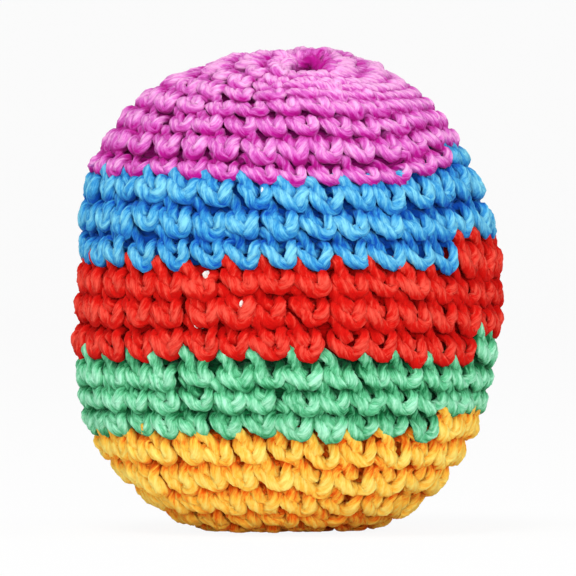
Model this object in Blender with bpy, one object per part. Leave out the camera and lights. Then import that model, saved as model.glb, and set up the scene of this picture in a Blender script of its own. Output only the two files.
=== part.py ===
"""A crocheted footbag: five bands of yarn worked as one spiral of stitches, round a cloth liner of pellets.

Units are metres and +Z is up. The bag stands on the XY plane with its axis on Z, and its front faces -Y. The
step that the spiral makes at each change of colour lies to the right of the front.
"""

import math

import bmesh
import bpy
import numpy as np
from mathutils import Vector

# The bag's outer form, a superellipse turned about Z
bag_radius = 0.0280
crown_rise = 0.0340
base_drop = 0.0300
crown_fullness = 2.4
base_fullness = 2.4
base_flattening = 0.0008
meridian_samples = 720

# The crown leans towards the front, so that its closing ring shows there
lean_angle = math.radians(21.0)
lean_azimuth = math.radians(-75.5)
lean_start_share = 0.68

# Bands of yarn, counted in rounds from the base, with their widths along the surface
yellow_rounds = 6
stripe_rounds = 3
pink_rounds = 8
yellow_width = 0.0288
green_width = 0.0109
red_width = 0.0120
blue_width = 0.0115

# Stitches
stitches_per_round = 33
columns_per_stitch = 2
levels_per_round = 2
seam_azimuth = math.radians(-37.0)
helix_fade_rounds = 3.0
cover_thickness = 0.0036
groove_depth = 0.0011
stitch_dip = 0.0006
zigzag_share = 0.17
band_gap = 0.0004

# Rings of yarn at the two poles
yarn_radius = 0.00088
starting_ring_radius = 0.0017
closing_ring_radius = 0.0021
ring_depth = 0.0004
ring_steps = 18
ring_sides = 8

# Knots and tails of yarn inside the cover
tail_radius = 0.0008
knot_radius = 0.0016
knot_length = 0.0034
tail_length = 0.0028
starting_tail_length = 0.0130
starting_tail_offset = 0.0040

# Liner bag
liner_thickness = 0.0008
liner_neck_room = 0.0044
liner_neck_radius = 0.0022
liner_neck_rise = 0.0036
neck_bore_radius = 0.0009
pocket_width = 0.0070
liner_columns = 48
liner_rings = 14
tie_radius = 0.0005

# Pellets
pellet_radius = 0.0022
pellet_height = 0.0030
pellet_sides = 8
fill_rise = 0.0150
pellet_relief = 0.0009
fill_lumps_per_turn = 11.0

# Clearances
seat_gap = 0.0003
liner_gap = 0.0005
fill_gap = 0.0006

columns = stitches_per_round * columns_per_stitch
full_turn = 2.0 * math.pi

COLOURS = {
    "yellow_yarn": (0.98, 0.55, 0.07, 1.0),
    "green_yarn": (0.10, 0.60, 0.32, 1.0),
    "red_yarn": (0.85, 0.04, 0.03, 1.0),
    "blue_yarn": (0.07, 0.38, 0.82, 1.0),
    "pink_yarn": (0.80, 0.19, 0.68, 1.0),
    "liner_cloth": (0.86, 0.85, 0.80, 1.0),
    "tie_thread": (0.75, 0.74, 0.70, 1.0),
    "pellet_plastic": (0.90, 0.90, 0.87, 1.0),
}
ROUGHNESS = {"pellet_plastic": 0.35}


def clear_scene():
    """Removes every object, so that the script starts from nothing."""
    for old in list(bpy.data.objects):
        bpy.data.objects.remove(old, do_unlink=True)


def material(name):
    """One Principled material for each yarn, cloth or plastic."""
    found = bpy.data.materials.get(name)
    if found:
        return found
    made = bpy.data.materials.new(name)
    made.use_nodes = True
    shader = made.node_tree.nodes["Principled BSDF"]
    shader.inputs["Base Color"].default_value = COLOURS[name]
    shader.inputs["Roughness"].default_value = ROUGHNESS.get(name, 0.85)
    shader.inputs["Metallic"].default_value = 0.0
    made.diffuse_color = COLOURS[name]
    return made


def finish(made, name, material_name, collection):
    """Names the object, gives it its material and moves it into the bag's collection."""
    made.name = name
    made.data.name = name
    made.data.materials.clear()
    made.data.materials.append(material(material_name))
    for old in list(made.users_collection):
        old.objects.unlink(made)
    collection.objects.link(made)
    if made.type == "MESH":
        made.data.shade_smooth()
    return made


class Shell:
    """A superellipse turned about Z: one radius, and its own rise, drop and fullness above and below."""

    def __init__(self, radius, rise, drop, floor_cut=0.0):
        self.radius, self.rise, self.drop, self.floor_cut = radius, rise, drop, floor_cut
        self.reach, self.turned_radius, self.height = self.meridian()
        self.length = self.reach[-1]

    def half(self, height):
        """The half-height and fullness of the half that this height lies in."""
        return (self.rise, crown_fullness) if height > 0.0 else (self.drop + self.floor_cut, base_fullness)

    def meridian(self):
        """Distance from the base's centre along the profile, with the profile's radius and height."""
        radii, heights = [], []
        for t in np.linspace(-math.pi / 2, math.pi / 2, meridian_samples):
            extent, fullness = self.half(math.sin(t))
            radii.append(self.radius * abs(math.cos(t)) ** (2.0 / fullness))
            height = math.copysign(extent * abs(math.sin(t)) ** (2.0 / fullness), math.sin(t))
            heights.append(max(height, -self.drop))
        steps = np.hypot(np.diff(radii), np.diff(heights))
        return np.concatenate([[0.0], np.cumsum(steps)]), np.array(radii), np.array(heights)

    def on_surface(self, direction):
        """The surface's point and outward normal along a direction from the bag's middle."""
        flat = math.hypot(direction.x, direction.y)
        extent, fullness = self.half(direction.z)
        size = (flat / self.radius) ** fullness + (abs(direction.z) / extent) ** fullness
        point = direction * size ** (-1.0 / fullness)
        out = math.hypot(point.x, point.y)
        outward = out ** (fullness - 1.0) / self.radius ** fullness
        upward = abs(point.z) ** (fullness - 1.0) / extent ** fullness
        normal = Vector((0.0, 0.0, math.copysign(upward, point.z)))
        if out > 0.0:
            normal += Vector((point.x, point.y, 0.0)) * (outward / out)
        if point.z < -self.drop:
            point = point * (self.drop / -point.z)
            normal = Vector((0.0, 0.0, -1.0))
        return point, normal.normalized()

    def point(self, azimuth, reach, depth=0.0, lean=False):
        """The point at an azimuth and a distance along the profile, sunk by depth below the surface."""
        radius = float(np.interp(reach, self.reach, self.turned_radius))
        height = float(np.interp(reach, self.reach, self.height))
        direction = Vector((radius * math.cos(azimuth), radius * math.sin(azimuth), height))
        if lean:
            direction = leaned(direction, reach / self.length)
        point, normal = self.on_surface(direction)
        return point - normal * depth + Vector((0.0, 0.0, base_drop))

    def radius_at(self, height):
        """The radius at a height above the bag's middle."""
        extent, fullness = self.half(height)
        return self.radius * max(0.0, 1.0 - (abs(height) / extent) ** fullness) ** (1.0 / fullness)


def ease(share):
    """Rises smoothly from 0 to 1."""
    share = min(max(share, 0.0), 1.0)
    return share * share * (3.0 - 2.0 * share)


def leaned(direction, share):
    """Turns a direction towards the front, more and more from lean_start_share up to the pole."""
    angle = lean_angle * ease((share - lean_start_share) / (1.0 - lean_start_share))
    axis = Vector((-math.sin(lean_azimuth), math.cos(lean_azimuth), 0.0))
    turned = direction.copy()
    cosine, sine = math.cos(angle), math.sin(angle)
    return turned * cosine + axis.cross(turned) * sine + axis * axis.dot(turned) * (1.0 - cosine)


# The nested shells: the cover, the liner inside it, and the fill inside the liner
cover = Shell(bag_radius, crown_rise, base_drop, base_flattening)
liner_inset = cover_thickness + liner_gap
liner = Shell(bag_radius - liner_inset, crown_rise - liner_inset - liner_neck_room, base_drop - liner_inset)
fill_inset = liner_inset + liner_thickness + fill_gap
fill = Shell(bag_radius - fill_inset, crown_rise - fill_inset - liner_neck_room, base_drop - fill_inset)
total_rounds = yellow_rounds + 3 * stripe_rounds + pink_rounds
starting_hole_radius = starting_ring_radius + yarn_radius + seat_gap
closing_hole_radius = closing_ring_radius + yarn_radius + seat_gap
resting_reach = float(cover.reach[cover.height > -base_drop][0])
pocket_depth = 2.0 * knot_radius + seat_gap
pocket_azimuth = seam_azimuth + full_turn / columns / 2.0


def reach_of_round(rounds):
    """How far along the surface a count of rounds reaches from the base's centre."""
    borders = [
        (0, starting_hole_radius),
        (yellow_rounds, yellow_width),
        (yellow_rounds + stripe_rounds, yellow_width + green_width),
        (yellow_rounds + 2 * stripe_rounds, yellow_width + green_width + red_width),
        (total_rounds - pink_rounds, yellow_width + green_width + red_width + blue_width),
        (total_rounds, cover.length - closing_hole_radius),
    ]
    return float(np.interp(rounds, *zip(*borders)))


def helix_reach(rounds, column):
    """The reach of a round at a column, which climbs one round in each turn, to the left as seen from outside."""
    turned = ((columns - column) % columns) / columns
    fade = min(rounds, total_rounds - rounds) / helix_fade_rounds
    return reach_of_round(rounds + turned * min(max(fade, 0.0), 1.0))


def zigzag(rounds, column):
    """The cups of the stitches: half a stitch down, half a stitch up, and level at the poles."""
    fade = min(rounds, total_rounds - rounds) / helix_fade_rounds
    return zigzag_share * min(max(fade, 0.0), 1.0) * (-1.0 if column % columns_per_stitch == 0 else 1.0)


def relief(on_line, column, reach):
    """How far a cover vertex lies below the crests: deep between rounds, dipped between stitches, level where
    the bag rests."""
    if reach < resting_reach:
        return 0.0
    if on_line:
        return groove_depth
    return stitch_dip if column % columns_per_stitch else 0.0


def cover_section(first, last, column):
    """The closed outline of a band at one column, up the outside and down the inside."""
    outside, inside = [], []
    steps = (last - first) * levels_per_round
    for step in range(steps + 1):
        rounds = first + step / levels_per_round
        on_line = step % levels_per_round == 0
        reach = helix_reach(rounds + (zigzag(rounds, column) if on_line else 0.0), column)
        reach += {0: band_gap / 2.0, steps: -band_gap / 2.0}.get(step, 0.0)
        outside.append((reach, relief(on_line, column, reach)))
        if on_line:
            inside.append((reach, cover_thickness))
    return outside + inside[::-1]


def ring_indices(mesh, major_radius, major, minor):
    """The column and section index of each vertex of a torus primitive."""
    for vertex in mesh.vertices:
        x, y, z = vertex.co
        column = round(math.atan2(y, x) / full_turn * major) % major
        step = round(math.atan2(z, math.hypot(x, y) - major_radius) / full_turn * minor) % minor
        yield vertex, column, step


def cover_band(name, first, last, material_name, collection):
    """A band of the cover: a torus whose section becomes the band's ribbed outline at every column."""
    sections = [cover_section(first, last, column) for column in range(columns)]
    minor = len(sections[0])
    bpy.ops.mesh.primitive_torus_add(
        major_segments=columns, minor_segments=minor, major_radius=bag_radius, minor_radius=cover_thickness
    )
    made = bpy.context.object
    for vertex, column, step in ring_indices(made.data, bag_radius, columns, minor):
        reach, depth = sections[column][step]
        azimuth = seam_azimuth + full_turn * column / columns
        vertex.co = cover.point(azimuth, reach, depth, lean=True)
    return finish(made, name, material_name, collection)


def yarn_ring(name, reach, major_radius, material_name, collection):
    """A ring of yarn laid into the hole at one pole of the cover, square to the surface there."""
    bpy.ops.mesh.primitive_torus_add(
        major_segments=ring_steps, minor_segments=ring_sides, major_radius=major_radius, minor_radius=yarn_radius
    )
    made = bpy.context.object
    top = cover.point(0.0, reach, 0.0, lean=True)
    centre = cover.point(0.0, reach, ring_depth + yarn_radius, lean=True)
    made.rotation_mode = "QUATERNION"
    made.rotation_quaternion = (top - centre).to_track_quat("Z", "Y")
    made.location = centre
    return finish(made, name, material_name, collection)


def yarn_curve(name, stations, material_name, collection):
    """A tube of yarn with filled ends through stations, each a point and a radius."""
    curve = bpy.data.curves.new(name, "CURVE")
    curve.dimensions = "3D"
    curve.bevel_depth = tail_radius
    curve.bevel_resolution = 2
    curve.use_fill_caps = True
    spline = curve.splines.new("POLY")
    spline.points.add(len(stations) - 1)
    for point, (place, radius) in zip(spline.points, stations):
        point.co = (*place, 1.0)
        point.radius = radius / tail_radius
    made = bpy.data.objects.new(name, curve)
    collection.objects.link(made)
    return finish(made, name, material_name, collection)


def knot_radii():
    """Distances along a knot and its two tails, each with the yarn's radius there."""
    half = knot_length / 2.0
    end = half + tail_length
    bulge = (knot_radius + tail_radius) / 2.0
    return [
        (-end, tail_radius),
        (-half, tail_radius),
        (-half / 2.0, bulge),
        (0.0, knot_radius),
        (half / 2.0, bulge),
        (half, tail_radius),
        (end, tail_radius),
    ]


def join_knot(name, rounds, material_name, collection):
    """The knot that ties a new colour to the old one, inside the cover where the colours change."""
    middle = helix_reach(rounds, 0)
    stations = [
        (cover.point(pocket_azimuth, middle + along, cover_thickness + seat_gap + radius), radius)
        for along, radius in knot_radii()
    ]
    return yarn_curve(name, stations, material_name, collection)


def closing_knot(name, material_name, collection):
    """The knot that fastens the last stitch off, under the closing ring."""
    middle = cover.length - closing_hole_radius - knot_length / 2.0
    stations = [
        (cover.point(pocket_azimuth, middle + along, cover_thickness + seat_gap + radius, lean=True), radius)
        for along, radius in knot_radii()[:-2]
    ]
    return yarn_curve(name, stations, material_name, collection)


def starting_tail(name, material_name, collection):
    """The first yarn's tail, which lies along the inside of the base."""
    depth = cover_thickness + seat_gap + tail_radius
    steps = 6
    reaches = [starting_tail_offset + starting_tail_length * step / steps for step in range(steps + 1)]
    stations = [(cover.point(pocket_azimuth, reach, depth), tail_radius) for reach in reaches]
    return yarn_curve(name, stations, material_name, collection)


def drawn_in(point):
    """Moves a point of the liner or the fill inwards where the yarn's knots press it in along the seam."""
    along = point.x * math.cos(pocket_azimuth) + point.y * math.sin(pocket_azimuth)
    across = point.y * math.cos(pocket_azimuth) - point.x * math.sin(pocket_azimuth)
    aside = across if along > 0.0 else math.hypot(point.x, point.y)
    amount = pocket_depth * math.exp(-((aside / pocket_width) ** 2))
    middle = Vector((0.0, 0.0, base_drop))
    below_neck = ease((base_drop + liner.rise - point.z) / liner_neck_room)
    return point + (middle - point).normalized() * amount * below_neck


def sphere_rings(bm, rings):
    """The ring index, from the bottom pole, and the azimuth of each vertex of a sphere primitive."""
    for vertex in bm.verts:
        polar = math.acos(max(-1.0, min(1.0, -vertex.co.z / vertex.co.length)))
        yield vertex, round(polar / math.pi * rings), math.atan2(vertex.co.y, vertex.co.x)


def liner_profile():
    """Points along the liner's wall: up the outside from the base to the neck's rim, then down the inside."""
    neck_reach = liner.length - 2.0 * liner_neck_radius
    reaches = [neck_reach * ring / (liner_rings - 1) for ring in range(liner_rings)]
    outside = [liner.point(0.0, reach) for reach in reaches]
    inside = [liner.point(0.0, reach, liner_thickness) for reach in reversed(reaches)]
    neck_foot = base_drop + liner.rise
    neck_rim = neck_foot + liner_neck_rise
    neck = [
        Vector((liner_neck_radius, 0.0, neck_foot + liner_neck_rise / 3.0)),
        Vector((liner_neck_radius, 0.0, neck_rim)),
        Vector((neck_bore_radius, 0.0, neck_rim)),
        Vector((neck_bore_radius, 0.0, neck_foot - liner_thickness)),
    ]
    return outside + neck + inside


def liner_bag(name, material_name, collection):
    """The cloth bag that holds the pellets, with a gathered neck that stays open as a narrow bore."""
    profile = liner_profile()
    rings = len(profile) - 1
    bm = bmesh.new()
    bmesh.ops.create_uvsphere(bm, u_segments=liner_columns, v_segments=rings, radius=bag_radius)
    for vertex, ring, azimuth in list(sphere_rings(bm, rings)):
        radius, height = profile[ring].x, profile[ring].z
        vertex.co = drawn_in(Vector((radius * math.cos(azimuth), radius * math.sin(azimuth), height)))
    mesh = bpy.data.meshes.new(name)
    bm.to_mesh(mesh)
    bm.free()
    made = bpy.data.objects.new(name, mesh)
    collection.objects.link(made)
    return finish(made, name, material_name, collection)


def liner_tie(name, material_name, collection):
    """The thread that closes the liner's neck."""
    bpy.ops.mesh.primitive_torus_add(
        major_segments=ring_steps,
        minor_segments=ring_sides,
        major_radius=liner_neck_radius + seat_gap + tie_radius,
        minor_radius=tie_radius,
        location=(0.0, 0.0, base_drop + liner.rise + liner_neck_rise - 2.0 * tie_radius),
    )
    return finish(bpy.context.object, name, material_name, collection)


def pellet_mass(name, material_name, collection):
    """The pellets below the loose top layer, as one mass with a lumpy skin and a level top."""
    bpy.ops.mesh.primitive_ico_sphere_add(subdivisions=4, radius=fill.radius)
    made = bpy.context.object
    for vertex in made.data.vertices:
        point, normal = fill.on_surface(vertex.co.normalized())
        azimuth = math.atan2(point.y, point.x)
        turns = point.z / fill.radius * fill_lumps_per_turn
        lump = abs(math.sin(azimuth * fill_lumps_per_turn) * math.cos(turns))
        point = drawn_in(point - normal * pellet_relief * lump + Vector((0.0, 0.0, base_drop)))
        point.z = min(point.z, base_drop + fill_rise)
        vertex.co = point
    return finish(made, name, material_name, collection)


def pellet_places():
    """A hexagonal layer of places on the level top of the fill, as many as the liner has room for."""
    pitch = 2.0 * (pellet_radius + seat_gap)
    top_of_layer = fill_rise + seat_gap + pellet_height
    room = fill.radius_at(top_of_layer) - pellet_radius - seat_gap
    reach = math.ceil(bag_radius / pitch)
    for row in range(-reach, reach + 1):
        for place in range(-reach, reach + 1):
            x = pitch * (place + row % 2 / 2.0)
            y = pitch * row * math.sqrt(3.0) / 2.0
            across = abs(y * math.cos(pocket_azimuth) - x * math.sin(pocket_azimuth))
            toward = x * math.cos(pocket_azimuth) + y * math.sin(pocket_azimuth)
            in_pocket = across < pocket_width + pellet_radius and toward > room - pocket_depth
            if math.hypot(x, y) < room and not in_pocket:
                yield x, y


def loose_pellets(material_name, collection):
    """The top layer of pellets, each a lentil of its own."""
    height = base_drop + fill_rise + seat_gap + pellet_height / 2.0
    for index, (x, y) in enumerate(pellet_places(), start=1):
        bpy.ops.mesh.primitive_uv_sphere_add(
            segments=pellet_sides, ring_count=pellet_sides // 2, radius=pellet_radius
        )
        made = bpy.context.object
        for vertex in made.data.vertices:
            vertex.co.z *= pellet_height / (2.0 * pellet_radius)
        made.location = (x, y, height)
        finish(made, f"pellet_{index:02d}", material_name, collection)


def build():
    clear_scene()
    bag = bpy.data.collections.new("crocheted_footbag")
    bpy.context.scene.collection.children.link(bag)
    green_start = yellow_rounds
    red_start = green_start + stripe_rounds
    blue_start = red_start + stripe_rounds
    pink_start = blue_start + stripe_rounds
    cover_band("yellow_base", 0, green_start, "yellow_yarn", bag)
    cover_band("green_band", green_start, red_start, "green_yarn", bag)
    cover_band("red_band", red_start, blue_start, "red_yarn", bag)
    cover_band("blue_band", blue_start, pink_start, "blue_yarn", bag)
    cover_band("pink_crown", pink_start, total_rounds, "pink_yarn", bag)
    yarn_ring("starting_ring", 0.0, starting_ring_radius, "yellow_yarn", bag)
    yarn_ring("closing_ring", cover.length, closing_ring_radius, "pink_yarn", bag)
    join_knot("green_join_knot", green_start, "green_yarn", bag)
    join_knot("red_join_knot", red_start, "red_yarn", bag)
    join_knot("blue_join_knot", blue_start, "blue_yarn", bag)
    join_knot("pink_join_knot", pink_start, "pink_yarn", bag)
    closing_knot("closing_knot", "pink_yarn", bag)
    starting_tail("starting_tail", "yellow_yarn", bag)
    liner_bag("liner_bag", "liner_cloth", bag)
    liner_tie("liner_tie", "tie_thread", bag)
    pellet_mass("pellet_mass", "pellet_plastic", bag)
    loose_pellets("pellet_plastic", bag)


build()
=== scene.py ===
import math

import bpy
import numpy as np
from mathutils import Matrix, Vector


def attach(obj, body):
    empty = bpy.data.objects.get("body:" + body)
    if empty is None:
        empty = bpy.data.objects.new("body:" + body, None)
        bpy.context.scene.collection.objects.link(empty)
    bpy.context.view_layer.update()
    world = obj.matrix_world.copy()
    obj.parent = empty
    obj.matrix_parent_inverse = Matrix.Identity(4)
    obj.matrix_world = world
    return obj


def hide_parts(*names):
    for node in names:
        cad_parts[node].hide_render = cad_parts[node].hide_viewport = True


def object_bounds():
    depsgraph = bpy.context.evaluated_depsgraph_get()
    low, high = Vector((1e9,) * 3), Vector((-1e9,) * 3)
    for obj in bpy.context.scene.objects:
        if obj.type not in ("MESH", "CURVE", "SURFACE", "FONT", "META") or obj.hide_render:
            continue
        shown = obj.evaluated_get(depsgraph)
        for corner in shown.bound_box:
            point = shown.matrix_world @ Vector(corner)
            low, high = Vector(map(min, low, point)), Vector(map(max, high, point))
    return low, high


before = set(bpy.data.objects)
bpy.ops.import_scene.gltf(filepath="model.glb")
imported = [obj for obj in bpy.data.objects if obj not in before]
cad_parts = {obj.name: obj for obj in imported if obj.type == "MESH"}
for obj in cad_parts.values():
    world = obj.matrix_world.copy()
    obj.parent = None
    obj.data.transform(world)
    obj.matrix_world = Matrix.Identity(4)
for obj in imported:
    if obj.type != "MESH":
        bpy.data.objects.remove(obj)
cadLow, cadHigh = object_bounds()
print("frame: %d solids" % len(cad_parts))

# The bag stands on z = 0 and faces -Y. Lengths are metres and angles are degrees. A share is of the row's
# height, the stitch's width or the yarn's radius, as its note says. A height over the waist is a share of the
# way from the waist to the top. A name that ends in At holds a bell curve's middle and width, and one that
# ends in From holds where something begins and how much further on it is whole.
bag = {
    "waistShare": 0.469,        # of the bag's height, where it is widest
    "crownFullness": 2.4,       # exponents of the superellipse above and below the waist
    "baseFullness": 2.45,
    "flatCut": 0.0008,          # what the floor takes off the base's round end
    "outlineSteps": 2400,
    "seamAngle": -37.0,         # where the rounds step up, to the right of the front
    "leanAngle": 20.3,          # how far the crown's pole leans to the front
    "leanBegins": -50.0,        # the lean's direction where it begins and at the pole
    "leanTowards": -79.0,
    "leanStart": 0.76,          # share of the way from base to crown where the lean begins
    "tightFront": 0.08,         # stitches are narrower at the front and back than at the sides
    "lumpHeight": 0.00022,
    "lumps": [(1.0, 3, 5, 0.4), (1.0, 5, -7, 2.1), (0.6, 9, 11, 0.0)],   # share, waves round and up, shift
    "lumpFoot": 0.006,          # lumps fade out below this height
    "proud": 0.0003,            # how far the stitches stand out over the solid cover
    "sway": 0.0008,             # how far the shoulders stand to the left, and the foot, by the height over
    "swayAt": (0.62, 0.33),     # the waist
    "footSway": 0.0005,
    "footSwayAt": (-0.6, 0.25),
    "slump": 0.0006,            # the crown's hollow on the left of the closing ring, by the way across and
    "slumpAt": (-0.0085, 0.0055),       # by the height over the waist
    "slumpFrom": (0.6, 0.35),
    "flatter": 0.0005,          # how far the crown is drawn in, but for the closing ring's back rim
    "flatterFrom": (0.42, 0.3),
    "rimAt": (0.0032, 0.0030),
    "rimFrom": (0.88, 0.08),
    "dimple": 0.0016,           # how deep the closing ring sits, and how much more so on its front side
    "dimpleWidth": 0.0019,
    "dimpleTilt": 0.3,
    "dimpleLevel": 0.002,       # nearer to the pole than this, that tilt fades
    "pressed": 0.0005,          # yarn lower than this is pressed against the floor
}
# Each colour starts at a count of rounds from the base's centre. Then, round by round: how far up the surface
# the round begins, and how many stitches lie between its front and the next round's. Fill is how far the
# cups of the colour's first round are filled, thin how much thinner the yarn is in that round, and thick the
# thickness of all the colour's yarn.
bands = {
    "yellow": {"start": 0.0, "fill": 1.0, "thin": 0.0, "thick": 1.02,
               "rows": [0.0030, 0.0070, 0.0110, 0.0149, 0.0199, 0.02515],
               "stitches": [7.37, 12.41, 17.53, 22.46, 27.23, 32.27]},
    "green": {"start": 6.012, "fill": 1.4, "thin": 0.03, "thick": 1.0,
              "rows": [0.0293, 0.0332, 0.0366], "stitches": [33.1, 33.1, 33.107]},
    "red": {"start": 8.967, "fill": 1.3, "thin": 0.06, "thick": 1.02,
            "rows": [0.0397, 0.0444, 0.0486], "stitches": [33.037, 33.087, 33.107]},
    "blue": {"start": 11.985, "fill": 0.2, "thin": 0.10, "thick": 1.0,
             "rows": [0.0521, 0.0560, 0.0597], "stitches": [33.11, 33.29, 31.16]},
    "pink": {"start": 14.97, "fill": 1.1, "thin": 0.14, "thick": 1.0,
             "rows": [0.0639, 0.0664, 0.0706, 0.0741, 0.0778, 0.0818, 0.0862, 0.0906],
             "stitches": [31.0, 29.4, 27.3, 24.4, 20.6, 16.1, 11.6, 8.0]},
}
closingReach = 0.0953           # where the last round ends, at the closing ring
# How far up or down the rounds drift on the bag's left and right sides, at some of the ways up. The angle's
# cosine, times leftHold or from rightFrom on, says how far a place is to the side.
drift = {
    "reach": [0.0, 0.0293, 0.0397, 0.0446, 0.0521, 0.0560, 0.0597, 0.0640, 0.0663, 0.0706, 0.0778, 0.0818],
    "left": [0.0, -0.0006, -0.0009, -0.0009, -0.0009, -0.0003, 0.0002, 0.0007, 0.0007, 0.0004, 0.0, 0.0],
    "right": [0.0, 0.0, 0.0, -0.0010, -0.0008, 0.0003, 0.0018, 0.0029, 0.0032, 0.0022, 0.0007, 0.0],
    "leftHold": 1.2,
    "rightFrom": (0.5, 0.5),
}
# Painted shade inside the closing ring, which reaches further towards skewAngle, and less on the crown round
# it
hole = {"holeShade": 6.0, "reach": 0.0020, "skew": 0.42, "skewAngle": 45.0, "pale": 0.7, "paleFrom": (17, 4)}
frontPhase = 0.122              # slides every stitch along the spiral, in stitches
seed = 7

bagRadius = (cadHigh.x - cadLow.x) / 2
bagHeight = cadHigh.z
waist = bagHeight * bag["waistShare"]
rise, drop = bagHeight - waist, waist
turn = 2 * math.pi
seam = math.radians(bag["seamAngle"])
rowStarts = [r for band in bands.values() for r in band["rows"]] + [closingReach]
allRounds = len(rowStarts) - 1
starts = [band["start"] for band in bands.values()] + [float(allRounds)]
spans = dict(zip(bands, zip(starts[:-1], starts[1:])))


def unit(v):
    # each vector divided by its length
    return v / np.maximum(np.linalg.norm(v, axis=-1, keepdims=True), 1e-12)


def ease(x, begin=0.0, span=1.0):
    # 0 where it begins and 1 a span further on, with level ends: 3x^2 - 2x^3
    x = np.clip((x - begin) / span, 0, 1)
    return x * x * (3 - 2 * x)


def bell(x, middle, width):
    # 1 at the middle and less to either side: e^-((x - middle) / width)^2
    return np.exp(-((x - middle) / width) ** 2)


def superellipse(direction, radius, up, down, cut=0.0):
    # the point where a ray from the waist's middle meets (r/radius)^n + (|z|/height)^n = 1, and the surface's
    # normal there
    flat = np.hypot(direction[..., 0], direction[..., 1])
    above = direction[..., 2] > 0
    height = np.where(above, up, down + cut)
    n = np.where(above, bag["crownFullness"], bag["baseFullness"])
    size = (flat / radius) ** n + (np.abs(direction[..., 2]) / height) ** n
    point = direction * (size ** (-1 / n))[..., None]
    out = np.maximum(np.hypot(point[..., 0], point[..., 1]), 1e-9)
    steep = out ** (n - 2) / radius ** n
    normal = np.stack([point[..., 0] * steep, point[..., 1] * steep,
                       np.sign(point[..., 2]) * np.abs(point[..., 2]) ** (n - 1) / height ** n], -1)
    low = point[..., 2] < -down                       # the floor cuts the base flat
    point = np.where(low[..., None], point * (down / np.maximum(-point[..., 2], 1e-9))[..., None], point)
    normal = np.where(low[..., None], np.array([0.0, 0.0, -1.0]), normal)
    return point, unit(normal)


# The meridian from the base's centre to the crown's pole: length along it, radius and height over the waist
quarter = np.linspace(-math.pi / 2, math.pi / 2, bag["outlineSteps"])
fullness = np.where(quarter > 0, bag["crownFullness"], bag["baseFullness"])
meridianRadius = bagRadius * np.abs(np.cos(quarter)) ** (2 / fullness)
meridianHeight = np.sign(quarter) * np.where(quarter > 0, rise, drop + bag["flatCut"]) \
    * np.abs(np.sin(quarter)) ** (2 / fullness)
meridianHeight = np.maximum(meridianHeight, -drop)
meridianReach = np.concatenate([[0], np.cumsum(np.hypot(np.diff(meridianRadius), np.diff(meridianHeight)))])


def reachAt(rounds):
    # the way up the meridian at a count of rounds
    return np.interp(rounds, np.arange(allRounds + 2), rowStarts + [meridianReach[-1]])


def hollowAt(angle, rounds):
    # how deep the closing ring's dimple is: a bell curve of the way to the pole, deeper on the front side
    toPole = meridianReach[-1] - reachAt(rounds)
    tilt = np.cos(angle - math.radians(bag["leanTowards"])) * np.minimum(toPole / bag["dimpleLevel"], 1)
    return bag["dimple"] * (1 + bag["dimpleTilt"] * tilt) * bell(toPole, 0, bag["dimpleWidth"])


def holeShadeAt(angle, rounds):
    # painted shade, in yarn radii down the colour scale: strength * e^-(way to the pole / reach)^4 inside
    # the closing ring, less some painted shade on the crown round it, which eases in over some rounds
    toPole = meridianReach[-1] - reachAt(rounds)
    toPole = toPole / (1 + hole["skew"] * np.cos(angle - math.radians(hole["skewAngle"])))
    holeShade = hole["holeShade"] * np.exp(-(toPole / hole["reach"]) ** 4)
    return holeShade - hole["pale"] * ease(rounds, *hole["paleFrom"])


def onBag(angle, rounds, lift):
    # Walks up the meridian by the count of rounds, turns to the angle, leans the crown's pole to the front,
    # and lifts the point off the surface along its normal. Gives points and normals.
    reach = reachAt(rounds)
    aside = np.cos(angle)
    reach = reach + ease(-drift["leftHold"] * aside) * np.interp(reach, drift["reach"], drift["left"]) \
        + ease(aside, *drift["rightFrom"]) * np.interp(reach, drift["reach"], drift["right"])
    radius = np.interp(reach, meridianReach, meridianRadius)
    height = np.interp(reach, meridianReach, meridianHeight)
    way = np.stack([radius * np.cos(angle), radius * np.sin(angle), height], -1)
    share = ease(reach / meridianReach[-1], bag["leanStart"], 1 - bag["leanStart"])
    lean = math.radians(bag["leanAngle"]) * share
    towards = np.radians(bag["leanBegins"] + (bag["leanTowards"] - bag["leanBegins"]) * share)
    axis = np.stack([-np.sin(towards), np.cos(towards), 0 * towards], -1)
    along = np.sum(way * axis, -1, keepdims=True) * axis
    c, s = np.cos(lean)[..., None], np.sin(lean)[..., None]
    way = way * c + np.cross(axis, way) * s + along * (1 - c)
    point, normal = superellipse(way, bagRadius, rise, drop, bag["flatCut"])
    across, high = point[..., 0], point[..., 2] / rise
    uneven = sum(part * np.sin(around * angle + up * high + shift)
                 for part, around, up, shift in bag["lumps"])
    uneven = bag["lumpHeight"] * uneven * np.clip((point[..., 2] + drop) / bag["lumpFoot"], 0, 1)
    slump = bag["slump"] * bell(across, *bag["slumpAt"]) * ease(high, *bag["slumpFrom"])
    rim = bell(across, *bag["rimAt"]) * ease(high, *bag["rimFrom"])
    slump = slump + bag["flatter"] * ease(high, *bag["flatterFrom"]) * (1 - rim)
    point = point + normal * (lift + bag["proud"] - hollowAt(angle, rounds) + uneven - slump)[..., None]
    point[..., 0] -= bag["sway"] * bell(high, *bag["swayAt"])
    point[..., 0] -= bag["footSway"] * bell(high, *bag["footSwayAt"])
    point[..., 2] += waist
    return point, normal


def onFloor(points):
    # yarn that would reach below the floor is pressed flat against it: z becomes low * e^(z / low - 1)
    low = bag["pressed"]
    z = points[..., 2]
    points[..., 2] = np.where(z < low, low * np.exp(np.minimum(z / low - 1, 0)), z)
    return points


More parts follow.
